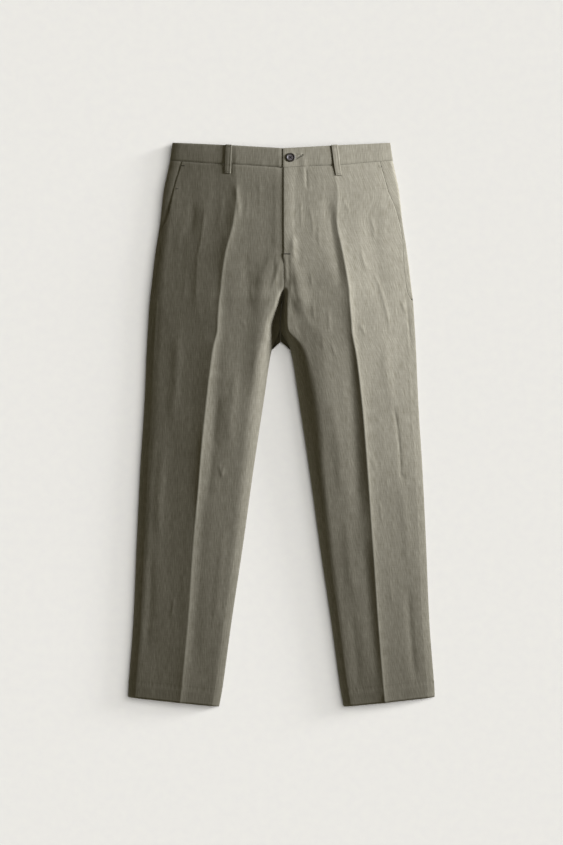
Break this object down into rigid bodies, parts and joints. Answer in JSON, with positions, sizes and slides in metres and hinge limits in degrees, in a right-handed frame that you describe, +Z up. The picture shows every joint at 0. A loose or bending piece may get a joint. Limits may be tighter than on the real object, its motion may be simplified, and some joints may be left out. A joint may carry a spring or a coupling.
{
  "type": "linen suit trousers",
  "caption": "Tailored linen suit trousers laid flat on their back, with pressed creases, slanted side pockets, a zip fly, belt loops and a buttoned waistband.",
  "frame": {"origin": "on the surface the trousers lie on, under the middle of their length and width", "axes": "+Y towards the waist, +X towards the wearer's left leg, +Z up out of the fronts"},
  "size_m": [0.5816, 1.0679, 0.0429],
  "materials": {
    "linen": "matt slubby plain-weave linen, olive grey",
    "horn": "dark horn, satin polish",
    "zip_tape": "close woven tape",
    "zip_metal": "dulled brass"
  },
  "bodies": {
    "root": {"front_right_hip": "linen", "front_right_thigh": "linen", "front_right_shin": "linen", "front_left_hip": "linen", "front_left_thigh": "linen", "front_left_shin": "linen", "back_right_hip": "linen", "back_right_thigh": "linen", "back_right_shin": "linen", "back_left_hip": "linen", "back_left_thigh": "linen", "back_left_shin": "linen", "waistband_right": "linen", "waistband_left": "linen", "pocket_facing_right": "linen", "pocket_facing_left": "linen", "belt_loop_front_right": "linen", "belt_loop_front_left": "linen", "belt_loop_back_right": "linen", "belt_loop_back_centre": "linen", "belt_loop_back_left": "linen", "button": "horn", "zip_tape": "zip_tape", "zip_chain": "zip_metal", "zip_slider": "zip_metal"}
  },
  "joints": []
}
